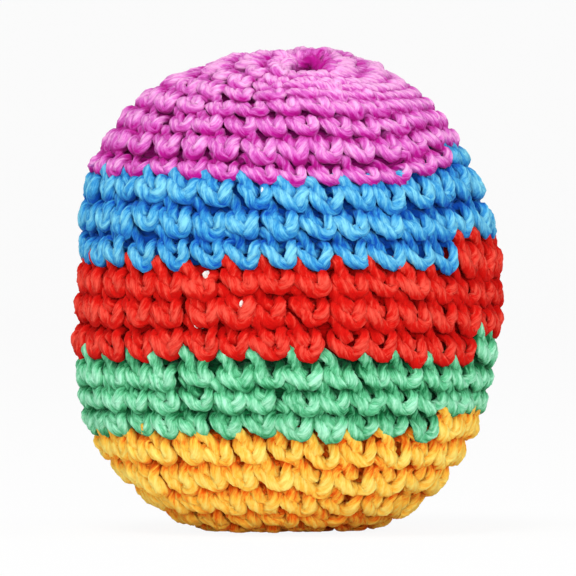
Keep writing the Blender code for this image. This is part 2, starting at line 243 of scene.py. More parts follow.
def spline(points, steps):
    # Catmull-Rom: a smooth curve through every point, with the same number of steps between each pair
    p = np.concatenate([points[:1], points, points[-1:]])
    u = (np.arange(steps) / steps)[None, :, None]
    a, b, c, d = (p[i:len(p) - 3 + i, None, :] for i in range(4))
    square, cube = 2 * a - 5 * b + 4 * c - d, 3 * b - a - 3 * c + d
    curve = 0.5 * (2 * b + (c - a) * u + square * u ** 2 + cube * u ** 3)
    return np.concatenate([curve.reshape(-1, points.shape[1]), points[-1:]])


def framesAlong(path):
    # Two directions square to the path that turn about it as little as possible: frames are set square to one
    # fixed direction, and each is turned back by the summed angles between neighbours.
    ahead = unit(np.gradient(path, axis=0))
    fixed = unit(np.array([[0.31, 0.17, 0.93]]))
    one = unit(fixed - (ahead @ fixed[0])[:, None] * ahead)
    two = np.cross(ahead, one)
    # carry each frame's first direction on to the next point and read the angle it meets there
    step = unit(ahead[:-1] + ahead[1:])
    carried = one[:-1] - 2 * np.sum(one[:-1] * step, -1, keepdims=True) * step
    carried = carried - 2 * np.sum(carried * ahead[1:], -1, keepdims=True) * ahead[1:]
    angle = np.arctan2(np.sum(carried * two[1:], -1), np.sum(carried * one[1:], -1))
    back = np.concatenate([[0], np.cumsum(angle)])[:, None]
    return np.cos(back) * one + np.sin(back) * two, np.cos(back) * two - np.sin(back) * one


def intoScene(name, data):
    # an object of this name and data, linked to the scene
    thing = bpy.data.objects.new(name, data)
    bpy.context.scene.collection.objects.link(thing)
    return thing


def meshPiece(name, points, faces, loopUv=None, marks=None):
    # points to a named mesh piece in one go, with an optional UV map and point attributes
    mesh = bpy.data.meshes.new(name)
    faces = faces.tolist() if hasattr(faces, "tolist") else faces
    mesh.from_pydata(points.reshape(-1, 3).tolist(), [], faces)
    mesh.update()
    if loopUv is not None:
        mesh.uv_layers.new(name="strand").data.foreach_set("uv", loopUv.astype(np.float32).ravel())
    for key, values in (marks or {}).items():
        layer = mesh.attributes.new(key, "FLOAT", "POINT")
        layer.data.foreach_set("value", values.astype(np.float32).ravel())
    mesh.shade_smooth()
    return intoScene(name, mesh)


def gridFaces(across, along, closeAcross, closeAlong):
    # the quads of a grid of points, along by across, that may close on itself either way
    i = np.arange(along if closeAlong else along - 1)[:, None]
    j = np.arange(across if closeAcross else across - 1)[None, :]
    i2, j2 = (i + 1) % along, (j + 1) % across
    return np.stack([i * across + j, i * across + j2, i2 * across + j2, i2 * across + j], -1).reshape(-1, 4)


# Plied yarn: plies twisted together, with valleys between them, pressed flat against the work
yarn = {
    "radius": 0.00096,
    "wide": 1.04,               # its width and its height, beside a round yarn's
    "flat": 0.84,
    "plies": 4,
    "valley": 0.26,             # how deep the valleys between plies are, as a share of the radius
    "twistLength": 0.0068,
    "fluff": 0.045,             # how far the radius strays from point to point
    "sides": 12,
    "taper": 6,                 # points over which each end narrows, and what is left of it, squared
    "tip": 0.02,
    "lowest": 0.06,             # where up the row the painted edge shade is deepest, and how narrow it is
    "lowEdge": 1.6,
    "foot": 1.0,                # painted shade at the floor, in radii down the colour scale, fading out by the height below
    "floorShadeHeight": 0.0042,
    "mapScale": 1000,           # the strand's map counts millimetres along it
}


def strand(name, path, normals, lifts, thick, rows=None, upwards=None, shade=None, holeShade=0.0):
    # A plied tube along the path. The section's radius falls into a valley between plies as |cos|, strays a
    # little from point to point, and turns once in each twistLength. Each point's depth under the bag's
    # surface, deepened by painted shade inside the closing ring and near the floor, and how near it is to
    # its row's lower edge, as a power of (1 + cos) / 2, are the mesh's marks; the yarn's colour paints light
    # and shade from them.
    one, two = framesAlong(path)
    length = np.concatenate([[0], np.cumsum(np.linalg.norm(np.diff(path, axis=0), axis=1))])
    sides = yarn["sides"]
    phi = turn * np.arange(sides) / sides
    section = 1 - yarn["valley"] * (1 - np.abs(np.cos(yarn["plies"] * phi / 2)))
    ends = np.minimum(np.arange(len(path)), np.arange(len(path))[::-1]) / yarn["taper"]
    size = yarn["radius"] * thick * np.sqrt(np.clip(ends, yarn["tip"], 1))
    angle = phi[None, :] + turn * length[:, None] / yarn["twistLength"]
    out = np.cos(angle)[..., None] * one[:, None, :] + np.sin(angle)[..., None] * two[:, None, :]
    section = section * (1 + yarn["fluff"] * rng.normal(size=angle.shape))
    offset = out * (size[:, None] * section)[..., None]
    rising = np.sum(offset * normals[:, None, :], -1, keepdims=True) * normals[:, None, :]
    offset = (offset - rising) * yarn["wide"] + rising * yarn["flat"]
    points = onFloor(path[:, None, :] + offset)
    depth = -(lifts[:, None] + np.sum(offset * normals[:, None, :], -1)) / yarn["radius"]
    # painted shade inside the closing ring
    depth = depth + np.broadcast_to(holeShade, lifts.shape)[:, None]
    # painted shade near the floor
    marks = {"depth": depth + yarn["foot"] * ease(1 - points[..., 2] / yarn["floorShadeHeight"])}
    # painted shade along each row's lower edge
    if rows is not None:
        height = rows[:, None] + np.sum(offset * upwards[:, None, :], -1)
        edge = (0.5 + 0.5 * np.cos(turn * (height - yarn["lowest"]))) ** yarn["lowEdge"]
        marks["low"] = shade[:, None] * edge
    quads = gridFaces(sides, len(path), True, False)
    v0 = np.repeat(length[:-1], sides) * yarn["mapScale"]
    v1 = np.repeat(length[1:], sides) * yarn["mapScale"]
    u0 = np.tile(np.arange(sides), len(path) - 1) / sides
    u1 = u0 + 1 / sides
    uv = np.stack([np.stack(corner, -1) for corner in ((u0, v0), (u1, v0), (u1, v1), (u0, v1))], 1)
    last = (len(path) - 1) * sides
    caps = [list(range(sides))[::-1], list(range(last, last + sides))]
    uv = np.concatenate([uv.reshape(-1, 2), np.zeros((2 * sides, 2))])
    return meshPiece(name, points, quads.tolist() + caps, uv, marks)


# One single crochet stitch seen from outside, worked from right to left. Columns: stitch widths to the right,
# rows up from the row's lower edge, yarn radii outwards from a strand lying on the surface, thickness, and
# how much the painted shade along the row's lower edge takes hold.
stitch = {
    "shape": np.array([
        (-0.43, 0.88, -0.65, 0.80, 1.0),  # top of the slanting left leg
        (-0.23, 0.56, 0.02, 0.98, 1.0),
        (-0.01, 0.32, -0.08, 1.02, 1.0),  # the cup's wide base
        (0.20, 0.30, -0.18, 1.02, 1.0),
        (0.31, 0.50, 0.10, 1.02, 1.0),
        (0.32, 0.80, 0.16, 0.86, 1.0),    # the upright right leg, thin at its tip
        (0.29, 1.03, -1.00, 0.72, 1.0),   # dives under the row above
        (0.10, 0.92, -2.20, 0.84, 1.0),
        (-0.04, 0.70, -1.05, 0.92, 0.8),  # comes up in the cup's mouth
        (-0.22, 1.06, -0.85, 0.92, 0.7),  # the slanting loop along the top
        (-0.45, 1.38, -0.75, 0.92, 0.5),
        (-0.76, 1.22, -2.30, 0.88, 1.0),  # and behind the work to the next stitch
    ]),
    "mouth": 8,                           # which of those points is in the mouth, and which are the loop
    "loop": slice(9, 11),                 # along the top
    "shake": (0.04, 0.035, 0.14, 0.03, 0.0),       # how far each point strays, and each whole stitch, in the
    "shakeWhole": (0.04, 0.045, 0.14, 0.05, 0.0),  # same measures
    "mouthUp": 0.6,                       # how much higher and thicker the strand in a filled cup's mouth is
    "mouthThick": 0.12,
    "rowHeight": 0.0043,                  # where a row is taller than this, its yarn lies fuller by a part of
    "fuller": 0.5,                        # what it is taller, up to a share of fullest
    "fullest": 0.3,
    "upStep": 0.2,                        # how many rounds up the way up and the row's height are measured
    "lastUp": 0.3,                        # how much higher the loops along the top are, and how much of the painted edge shade they lose, between the next colour's cups
    "lastShadeCut": 0.6,                      # stand up between the cups of the next colour
    "crownFrom": (15.5, 4),               # from this round up the stitches slant, thin and lie flatter
    "crownSlant": 0.55,
    "crownThin": 0.10,
    "crownFlat": 0.35,
    "drawnIn": 0.7,                       # how strongly the last stitches are gathered at the closing ring,
    "drawnFor": 0.35,                     # and in how many rounds
    "steps": 4,                           # from each of those points to the next
}
rng = np.random.default_rng(seed)


def stitchPlaces():
    # Where each stitch sits along the spiral, in rounds, and how many stitches a round has there. The counts
    # are from front to front, so each one's decimals set how far a round's stitches stand off those below.
    counts = np.array([c for band in bands.values() for c in band["stitches"]])
    front = (seam + math.pi / 2) / turn
    marks = np.concatenate([[0, front * counts[0]], front * counts[0] + np.cumsum(counts)])
    rounds = np.concatenate([[0, front], front + np.arange(1, allRounds + 1)])
    numbers = np.arange(int(marks[-1]) + 1) + frontPhase
    places = np.interp(numbers, marks, rounds)
    keep = places < allRounds
    return places[keep], 1 / np.gradient(places[keep])


def bandStrand(colour):
    # The band's whole yarn as one path: every stitch's points, placed along the spiral, made smooth and laid
    # on the bag. The way up is the step to a point a little higher, divided by its length squared.
    places, counts = stitchPlaces()
    first, last = spans[colour]
    band = bands[colour]
    mine = (places >= first) & (places < last)
    place, count = places[mine][:, None], counts[mine][:, None]
    shape = stitch["shape"][None]
    stray = rng.normal(size=(len(place), shape.shape[1], 5)) * stitch["shake"]
    stray += rng.normal(size=(len(place), 1, 5)) * stitch["shakeWhole"]
    right, up, out, thick, shade = (shape[..., i] + stray[..., i] for i in range(5))
    up = up - stitch["drawnIn"] * np.maximum(place + up - allRounds + stitch["drawnFor"], 0)
    later = (place >= first + 1) | (first == 0)
    filled = np.where(later, 1.0, band["fill"])
    thick = thick * band["thick"] - band["thin"] * ~later
    out[:, stitch["mouth"]] += stitch["mouthUp"] * filled[:, 0]
    thick[:, stitch["mouth"]] += stitch["mouthThick"] * filled[:, 0]
    tips = (place >= last - 1) & (last < allRounds)
    out[:, stitch["loop"]] += stitch["lastUp"] * tips
    # the top loops lose some painted edge shade
    shade[:, stitch["loop"]] *= 1 - stitch["lastShadeCut"] * tips
    crown = ease(place, *stitch["crownFrom"])
    thick = thick - stitch["crownThin"] * crown
    out = out * (1 - stitch["crownFlat"] * crown)
    right = right - stitch["crownSlant"] * crown * (up - 0.5)
    at = place - right / count                         # to the right is back along the spiral
    angle = seam - turn * at
    angle = angle - bag["tightFront"] * np.sin(2 * (angle + math.pi / 2)) / 2
    lift = yarn["radius"] * (out - yarn["flat"])
    path = spline(np.stack([angle, at + up, lift, thick, up, shade], -1).reshape(-1, 6), stitch["steps"])
    angle, rounds, lift, thick, up, shade = (path[:, i] for i in range(6))
    points, normals = onBag(angle, rounds, lift)
    higher = onBag(angle, rounds + stitch["upStep"], lift)[0] - points
    upwards = higher * stitch["upStep"] / np.maximum(np.sum(higher ** 2, -1, keepdims=True), 1e-9)
    taller = np.linalg.norm(higher, axis=-1) / (stitch["upStep"] * stitch["rowHeight"]) - 1
    full = thick * (1 + stitch["fuller"] * np.clip(taller, 0, stitch["fullest"]))
    return points, normals, lift, full, up, upwards, shade, holeShadeAt(angle, rounds)


# Shader maths as Python: a Value is one number socket, and + - * / on it add Math nodes
class Value:
    def __init__(self, recipe, socket):
        self.recipe, self.socket = recipe, socket

    def maths(self, operation, first, second):
        node = self.recipe.add("ShaderNodeMath", {"operation": operation}, {0: first, 1: second})
        return Value(self.recipe, node.outputs[0])

    def __add__(self, other):
        return self.maths("ADD", self, other)

    def __sub__(self, other):
        return self.maths("SUBTRACT", self, other)

    def __mul__(self, other):
        return self.maths("MULTIPLY", self, other)

    def __truediv__(self, other):
        return self.maths("DIVIDE", self, other)

    def __rsub__(self, other):
        return self.maths("SUBTRACT", other, self)

    def __rmul__(self, other):
        return self.maths("MULTIPLY", other, self)

    def cosine(self):
        return self.maths("COSINE", self, 0.0)


class Recipe:
    # one material, built node by node
    def __init__(self, name):
        self.material = bpy.data.materials.new(name)
        self.material.use_nodes = True
        self.tree = self.material.node_tree
        self.tree.nodes.clear()

    def add(self, kind, settings=None, inputs=None):
        node = self.tree.nodes.new(kind)
        for key, value in (settings or {}).items():
            if key == "stops":
                setStops(node.color_ramp, value)
            else:
                setattr(node, key, value)
        for key, value in (inputs or {}).items():
            if isinstance(value, Value):
                value = value.socket
            if isinstance(value, bpy.types.NodeSocket):
                self.tree.links.new(value, node.inputs[key])
            else:
                node.inputs[key].default_value = value
        return node

    def mark(self, name):
        return Value(self, self.add("ShaderNodeAttribute", {"attribute_name": name}).outputs["Fac"])

    def inSpace(self):
        return self.add("ShaderNodeTexCoord").outputs["Object"]

    def strandMap(self):
        return self.add("ShaderNodeUVMap", {"uv_map": "strand"}).outputs[0]

    def noise(self, vector, scale, detail, rough=0.5):
        node = self.add("ShaderNodeTexNoise", None,
                        {"Vector": vector, "Scale": scale, "Detail": detail, "Roughness": rough})
        return Value(self, node.outputs[0])

    def drawnOut(self, scale, detail, rough=0.5):
        # noise stretched along a strand, by its own map
        stretched = self.add("ShaderNodeMapping", None, {"Vector": self.strandMap(), "Scale": scale})
        return self.noise(stretched.outputs[0], 1.0, detail, rough)

    def ramp(self, stops, share):
        return self.add("ShaderNodeValToRGB", {"stops": stops}, {0: share}).outputs[0]

    def cover(self, colour, look, height, more, rough=None):
        # the surface: its colour and roughness, dents of this height, and more inputs
        dent = self.add("ShaderNodeBump", None,
                        {"Strength": look["bump"], "Distance": look["dentHeight"], "Height": height})
        inputs = {"Base Color": colour, "Roughness": rough or look["rough"], "Normal": dent.outputs[0]}
        return self.finish(self.add("ShaderNodeBsdfPrincipled", None, {**inputs, **more}))

    def finish(self, shader):
        self.add("ShaderNodeOutputMaterial", None, {"Surface": shader.outputs[0]})
        return self.material


def setStops(ramp, stops):
    # a colour ramp's places and colours
    while len(ramp.elements) < len(stops):
        ramp.elements.new(0.5)
    for element, (place, colour) in zip(ramp.elements, stops):
        element.position, element.color = place, colour


def rgb(code):
    # a hexadecimal screen colour as linear light
    parts = [int(code[i:i + 2], 16) / 255 for i in (0, 2, 4)]
    return tuple(p / 12.92 if p <= 0.04045 else ((p + 0.055) / 1.055) ** 2.4 for p in parts) + (1.0,)


# Each yarn's colour, with light and shade painted by depth: a painted highlight on crests, its own colour
# on flanks, painted shade in gaps and in deep hollows; and how far painted shade takes it down that scale
# at the row's lower edge and in the valleys between plies
dyesAndShade = {
    "yellow": ("FCE67C", "FCC042", "F2660E", "B84404", 1.3, 0.8),
    "green": ("AEF0CE", "60C08C", "14703E", "0A3A20", 1.7, 0.8),
    "red": ("EA5444", "D0160E", "C00605", "A00303", 1.5, 0.7),
    "blue": ("82D2E8", "3896D0", "0C50B4", "0C46A8", 1.5, 0.8),
    "pink": ("F2AEE0", "D262BE", "B4128C", "A00878", 2.1, 0.9),
}
# Painted shade takes the colour down that scale with depth. Fibres, bundles, mottling and tufts push it
# either way. All these are in yarn radii, and stray moves the valleys between plies off their lines. A scale
# is round and along the strand's map, or per metre.
yarnFinish = {
    "scale": (-0.4, 1.4, 3.0, 5.2),
    "fibre": 3.3, "bundle": 2.3, "mottle": 1.3, "tuft": 1.3, "stray": 3.0,
    "fibreScale": (26.0, 1.4, 1.0), "bundleScale": (11.0, 0.6, 1.0),
    "mottleScale": 1700.0, "tuftScale": 330.0, "strayScale": 700.0,
    "plyDent": 0.5, "bump": 0.55, "dentHeight": 0.00025,
    "rough": 0.95, "sheen": 0.15, "sheenRough": 0.5, "shine": 0.1,
}


def yarnMaterial(colour):
    # Fibres and bundles are noise drawn out along the strand; tufts and mottling are noise in space. A valley
    # between plies is (1 - cosine of the way round) / 2. Depth, the row's lower edge and the valleys paint
    # shade into the colour.
    look = Recipe(colour + "Yarn")
    *shades, low, valleyShade = dyesAndShade[colour]
    crest, span = yarnFinish["scale"][0], yarnFinish["scale"][-1] - yarnFinish["scale"][0]
    stops = [((depth - crest) / span, rgb(shade)) for depth, shade in zip(yarnFinish["scale"], shades)]
    around = Value(look, look.add("ShaderNodeSeparateXYZ", None, {0: look.strandMap()}).outputs[0])
    fibre = look.drawnOut(yarnFinish["fibreScale"], 2.0, 0.6) - 0.5
    bundle = look.drawnOut(yarnFinish["bundleScale"], 1.0) - 0.5
    place = look.inSpace()
    stray, mottle, tuft = (look.noise(place, yarnFinish[key], 1.0) - 0.5
                           for key in ("strayScale", "mottleScale", "tuftScale"))
    # the valleys between plies: a dent, and painted shade in the colour
    valley = 0.5 - 0.5 * (around * (turn * yarn["plies"]) + stray * yarnFinish["stray"]).cosine()
    # painted shade along the row's lower edge and in the valleys between plies, then random tone
    push = look.mark("low") * low + valley * valleyShade
    for part, wave in (("fibre", fibre), ("bundle", bundle), ("mottle", mottle), ("tuft", tuft)):
        push = push + wave * yarnFinish[part]
    # depth picks the colour: a painted highlight on crests down to painted shade in hollows
    shade = look.ramp(stops, (look.mark("depth") + push - crest) / span)
    return look.cover(shade, yarnFinish, fibre - valley * yarnFinish["plyDent"],
                      {"Sheen Weight": yarnFinish["sheen"], "Sheen Roughness": yarnFinish["sheenRough"],
                       "Sheen Tint": stops[0][1], "Specular IOR Level": yarnFinish["shine"]})


def wear(piece, material, slot, *nodes):
    # finish, body and the solids that the piece stands for; slot is not used
    piece.data.materials.clear()
    piece.data.materials.append(material)
    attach(piece, "root")
    if nodes:
        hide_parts(*nodes)
    return piece


bandNodes = {"yellow": "yellow_base", "green": "green_band", "red": "red_band", "blue": "blue_band",
             "pink": "pink_crown"}
yarns = {colour: yarnMaterial(colour) for colour in bands}
for colour in bands:
    piece = strand(colour + "Crochet", *bandStrand(colour))
    wear(piece, yarns[colour], colour + "_yarn", bandNodes[colour])
    print("crochet:", colour, len(piece.data.polygons), "faces")


# The back of the work, which closes the gaps behind the stitches; its depth gives it painted shade
lining = {
    "depth": 0.0026,            # how far under the stitches' tops it lies
    "thickness": 0.0006,
    "waves": 0.00035,
    "waveColumns": 4,           # columns to a wave
    "foot": 0.24,               # how many rounds after its colour it starts, and how many it runs on past it
    "overlap": 0.45,
    "lastOverlap": 0.93,        # the same at the pole
    "tuck": 1.2,                # how much deeper its upper edge slips, in thicknesses
    "level": 2,                 # how many rounds from each pole it climbs as fast as the stitches
    "columns": 136,
    "rowsPerRound": 4,
    "mapLong": 180,             # the map's millimetres in a round
    "low": 0.5,                 # how much painted lower-edge shade it takes
}


def backing(colour):
    # A ring of knotted yarn behind one colour. It is a loop of points, up the outside and down the inside,
    # carried round the bag; its edges climb one round in a turn and step back down at the seam. The upper
    # edge slips under the next colour's ring.
    first, last = spans[colour]
    last = last + (lining["lastOverlap"] if last == allRounds else lining["overlap"])
    foot = lining["foot"] if first else 0.0
    rows = np.linspace(first + foot, last, round((last - first) * lining["rowsPerRound"]))
    loop = np.concatenate([rows, rows[::-1]])
    inside = np.repeat([0.0, 1.0], len(rows))
    at = np.arange(lining["columns"]) / lining["columns"]
    climb = np.clip(np.minimum(loop, allRounds - loop) / lining["level"], 0, 1)
    spiral = loop[None, :] + at[:, None] * climb
    wave = np.cos(turn * spiral) * np.cos(turn * lining["columns"] / lining["waveColumns"] * at[:, None])
    tucked = np.clip(loop - last + 1, 0, 1) * lining["thickness"] * lining["tuck"]
    lift = -(lining["depth"] + inside * lining["thickness"] + tucked) + lining["waves"] * wave
    angle = np.broadcast_to(seam - turn * at[:, None], spiral.shape)
    points = onFloor(onBag(angle, spiral, lift)[0])
    faces = gridFaces(len(loop), len(at), True, True)
    # painted shade by its depth, and inside the closing ring
    depth = holeShadeAt(angle, spiral) - lift / yarn["radius"]
    long = np.broadcast_to(at[:, None] * lining["mapLong"], spiral.shape)
    uv = np.stack([spiral, long], -1).reshape(-1, 2)[faces.ravel()]
    marks = {"depth": depth, "low": np.full(depth.shape, lining["low"])}
    return meshPiece(colour + "Back", points, faces, uv, marks)


for colour in bands:
    wear(backing(colour), yarns[colour], colour + "_yarn")
print("backs done")

# The rings at the two poles, the knots where the colours meet, and the yarn's first end
ends = {
    # piece, colour, node, rounds up, depth, and width and thickness beside the full ones
    "rings": [("closingRing", "pink", "closing_ring", allRounds + 0.12, 0.0014, 1.0, 1.0),
              ("startingRing", "yellow", "starting_ring", 0.0, 0.0012, 0.62, 0.95)],
    "ringTurns": 1.06,          # how far a ring goes round, and how high its middle lies over its ends
    "ringOver": 0.0003,
    "ringSteps": 56,
    "thick": 0.85,              # the knots' and the tail's yarn
    "knotAngle": -34.5,
    "knotDepth": 0.0050,
    "knotLoops": 2.0,           # turns on each side of a knot's middle, how wide, and how far they go
    "knotLoop": 0.0009,
    "knotLong": 0.0016,
    "knotTail": 0.0030,
    "knotSteps": 64,
    "closingKnot": 0.8,         # how many rounds below the end
    "tailStart": 0.25,          # in rounds
    "tailEnd": 3.2,
    "tailDepth": 0.0046,
    "tailSway": 0.10,           # its wander: sway * sin(wave * rounds) / (steady + rounds)
    "tailWave": 2.2,
    "tailSteady": 0.4,
    "tailSteps": 40,
}


def ring(name, rounds, depth, width, thick):
    # a loop of yarn round a pole, its start and end crossing where it was drawn up
    angle = np.linspace(0, turn * ends["ringTurns"], ends["ringSteps"])
    over = np.sin(np.linspace(0, math.pi, len(angle))) - 0.5
    lifts = -depth + ends["ringOver"] * over
    points, normals = onBag(angle, np.full(len(angle), rounds), lifts)
    centre = points.mean(0)
    points = centre + (points - centre) * width
    return strand(name, points, normals, lifts, np.full(len(angle), thick), holeShade=holeShadeAt(angle, rounds))


def knot(name, rounds, angle, depth):
    # a tail, turns wound round its own line, and the other tail, inside the cover and straight up it
    s = np.linspace(-1, 1, ends["knotSteps"])
    along = s * (ends["knotLong"] / 2 + ends["knotTail"])
    wound = np.clip(1 - np.abs(along) / ends["knotLong"], 0, 1)
    wind = turn * ends["knotLoops"] * np.clip(along / ends["knotLong"], -1, 1)
    reach = ends["knotLoop"] * np.sqrt(wound)
    base, normal = onBag(np.array(angle), np.array(rounds), np.array(-depth))
    higher = onBag(np.array(angle), np.array(rounds + stitch["upStep"]), np.array(-depth))[0]
    ahead = unit(higher - base)
    aside = np.cross(normal, ahead)
    path = base + along[:, None] * ahead + (reach * np.cos(wind))[:, None] * aside \
        + (reach * np.sin(wind))[:, None] * normal
    return strand(name, path, np.broadcast_to(normal, path.shape), np.full(len(s), -depth),
                  np.full(len(s), ends["thick"]))


for name, colour, node, rounds, depth, width, thick in ends["rings"]:
    wear(ring(name, rounds, depth, width, thick), yarns[colour], colour + "_yarn", node)
knotAngle = math.radians(ends["knotAngle"])
for colour in ("green", "red", "blue", "pink"):
    piece = knot(colour + "JoinKnot", round(bands[colour]["start"]), knotAngle, ends["knotDepth"])
    wear(piece, yarns[colour], colour + "_yarn", colour + "_join_knot")
piece = knot("closingKnot", allRounds - ends["closingKnot"], knotAngle, ends["knotDepth"])
wear(piece, yarns["pink"], "pink_yarn", "closing_knot")
steps = np.linspace(ends["tailStart"], ends["tailEnd"], ends["tailSteps"])
wander = knotAngle + ends["tailSway"] * np.sin(steps * ends["tailWave"]) / (ends["tailSteady"] + steps)
lifts = np.full(len(steps), -ends["tailDepth"])
tailPath, tailNormals = onBag(wander, steps, lifts)
piece = strand("startingTail", tailPath, tailNormals, lifts, np.full(len(steps), ends["thick"]))
wear(piece, yarns["yellow"], "yellow_yarn", "starting_tail")
print("rings, knots and tail done")

# The cloth bag inside the cover: a shell of revolution with a gathered neck, drawn in behind the knots. It is
# seen where a pinch of it shows between stitches.
sack = {
    "radius": 0.0239, "rise": 0.0255, "drop": 0.0259, "thickness": 0.0008, "fullness": 0.9,
    "columns": 168, "rings": 84,
    "neckRadius": 0.0022, "neckRise": 0.0036, "bore": 0.0009,
    "neckShares": (1.25, 0.95, 0.92, 1.35, 1.1),        # of its radius: at its foot, twice up it, rim and lip
    "neckStep": 0.0012, "lip": 0.0002, "boreTop": 0.0010,
    "wallEnd": 0.10,            # how many radians below the pole the wall stops
    "neckClear": 1.6, "boreClear": 1.2,         # the wall stays this much wider than the neck and the bore
    "wrinkle": 0.00022, "folds": 15, "foldDepth": 0.16, "foldReach": 0.009,
    "pocketAngle": -34.5, "pocketDepth": 0.0035, "pocketWidth": 0.0070, "neckRoom": 0.0044,
    # across, height, radius and depth of each pinch that shows
    "pinches": [(-0.0105, 0.0342, 0.00043, -0.0013), (-0.0060, 0.0305, 0.00038, -0.0009),
                (-0.0121, 0.0277, 0.00038, 0.0000), (-0.0033, 0.0452, 0.00034, -0.0003)],
    "pinchRings": 9, "pinchSides": 12,
    "pinchFlare": 0.9, "pinchTall": 1.6,        # how much wider its foot is, and its height over its width
    "pinchTip": 0.03,
}


def drawnIn(points):
    # moved towards the bag's middle by a bell curve of the way from the line of knots, fading at the neck
    line = math.radians(sack["pocketAngle"])
    along = np.array([math.cos(line), math.sin(line)])
    front = points[..., :2] @ along
    across = points[..., 1] * along[0] - points[..., 0] * along[1]
    aside = np.where(front > 0, across, np.hypot(points[..., 0], points[..., 1]))
    fade = ease((waist + sack["rise"] - points[..., 2]) / sack["neckRoom"])
    amount = sack["pocketDepth"] * bell(aside, 0, sack["pocketWidth"]) * fade
    return points + unit(np.array([0, 0, waist]) - points) * amount[..., None]


def sackWall(depth, rings):
    # radius and height up the wall from the base's centre towards the neck, depth inside the outer surface
    climb = np.linspace(-math.pi / 2, math.pi / 2 - sack["wallEnd"], rings)
    direction = np.stack([np.cos(climb), 0 * climb, np.sin(climb)], -1)
    wall = superellipse(direction, sack["radius"] - depth, sack["rise"] - depth, sack["drop"] - depth)[0]
    return np.stack([np.abs(wall[:, 0]), wall[:, 2] + waist], -1)


def sackShell():
    # A profile carried round: up the outside, over the neck's rim, down its bore and the inside. The neck's
    # radius rises and falls in folds. The wall is creased by products of sine waves that bend each other, in
    # millimetres. Single points close the two poles.
    foot, rim = waist + sack["rise"], waist + sack["rise"] + sack["neckRise"]
    radii = [sack["neckRadius"] * share for share in sack["neckShares"]]
    heights = [foot, foot + sack["neckStep"], rim - sack["neckStep"], rim, rim + sack["lip"]]
    neck = list(zip(radii, heights)) + [(sack["bore"], rim - sack["boreTop"]), (sack["bore"], foot)]
    outside = sackWall(0.0, sack["rings"])
    outside = outside[outside[:, 0] > radii[0] * sack["neckClear"]][1:]
    inside = sackWall(sack["thickness"], sack["rings"] // 2)[:0:-1]
    inside = inside[inside[:, 0] > sack["bore"] * sack["boreClear"]]
    profile = np.concatenate([outside, neck, inside])
    angle = turn * np.arange(sack["columns"]) / sack["columns"]
    radius, height = profile[:, None, 0], profile[:, None, 1]
    gathered = np.clip(1 - (foot - height) / sack["foldReach"], 0, 1) ** 2
    folds = sack["folds"] * angle
    wave = np.cos(folds + 0.8 * np.sin(3 * angle)) + 0.4 * np.cos(2 * folds + 1)
    radius = radius * (1 + sack["foldDepth"] * gathered * wave)
    points = np.stack([radius * np.cos(angle), radius * np.sin(angle), height + 0 * angle], -1)
    x, y, z = (points[..., i] * 1000 for i in range(3))
    crease = np.sin(x * 0.9 + 1.3 * np.sin(z * 0.5)) * np.cos(y * 0.8 + np.sin(z * 0.7 + 1)) \
        + 0.6 * np.sin(1.9 * x - 1.2 * z) * np.sin(1.7 * y + 0.9 * z)
    crease = sack["wrinkle"] * crease * (1 - gathered)
    points = drawnIn(points + unit(points - np.array([0, 0, waist])) * crease[..., None])
    around, count = len(angle), len(profile)
    low = np.array([0, 0, waist - sack["drop"]])
    poles = np.stack([low, low + np.array([0, 0, sack["thickness"]])])
    j = np.arange(around)
    pole, end = count * around, (count - 1) * around
    faces = gridFaces(around, count, True, False).tolist()
    faces += np.stack([np.full(around, pole), (j + 1) % around, j], -1).tolist()
    faces += np.stack([np.full(around, pole + 1), end + j, end + (j + 1) % around], -1).tolist()
    return np.concatenate([points.reshape(-1, 3), poles]), faces


def pinch(across, height, radius, depth):
    # a small bell of cloth from the sack's wall out between stitches: its foot widens by a square, and its
    # tip is rounded by the root of 1 - share^4
    rings, sides = sack["pinchRings"], sack["pinchSides"]
    level = 1 - abs((height - waist) / rise) ** bag["crownFullness"]
    out = math.sqrt(max(bagRadius ** 2 * level - across ** 2, 0))
    way = unit(np.array([across, -out, height - waist]))
    base = superellipse(way[None], sack["radius"], sack["rise"], sack["drop"])[0][0]
    top = superellipse(way[None], bagRadius, rise, drop, bag["flatCut"])[0][0] - way * depth
    aside = unit(np.cross(way, [0, 0, 1]))
    up = np.cross(aside, way)
    share = np.linspace(0, 1, rings)[:, None]
    angle = turn * np.arange(sides)[None, :] / sides
    flare = 1 + sack["pinchFlare"] * (1 - share) ** 2
    spread = radius * flare * np.sqrt(np.clip(1 - share ** 4, sack["pinchTip"], 1))
    outline = np.cos(angle)[..., None] * aside + sack["pinchTall"] * np.sin(angle)[..., None] * up
    grid = base + share[..., None] * (top - base) + spread[..., None] * outline
    grid = grid + np.array([0, 0, waist])
    caps = [list(range(sides))[::-1], list(range((rings - 1) * sides, rings * sides))]
    return grid.reshape(-1, 3), gridFaces(sides, rings, True, False).tolist() + caps


def join(shells):
    # several closed shells as one list of points and one of faces
    starts = np.cumsum([0] + [len(points) for points, _ in shells])
    faces = [[corner + start for corner in face]
             for (_, those), start in zip(shells, starts) for face in those]
    return np.concatenate([points for points, _ in shells]), faces


def stopsOf(look, *parts):
    # a material's named ramp stops, with their colours as light
    return [(look[part][0], rgb(look[part][1])) for part in parts]


cloth = {"worn": (0.3, "E9E4DA"), "clean": (0.8, "FBFAF6"), "thread": 0.00045, "wearScale": 220.0,
         "weave": 0.12, "bump": 0.5, "dentHeight": 0.0001, "rough": 0.9, "sheen": 0.2, "shine": 0.25}


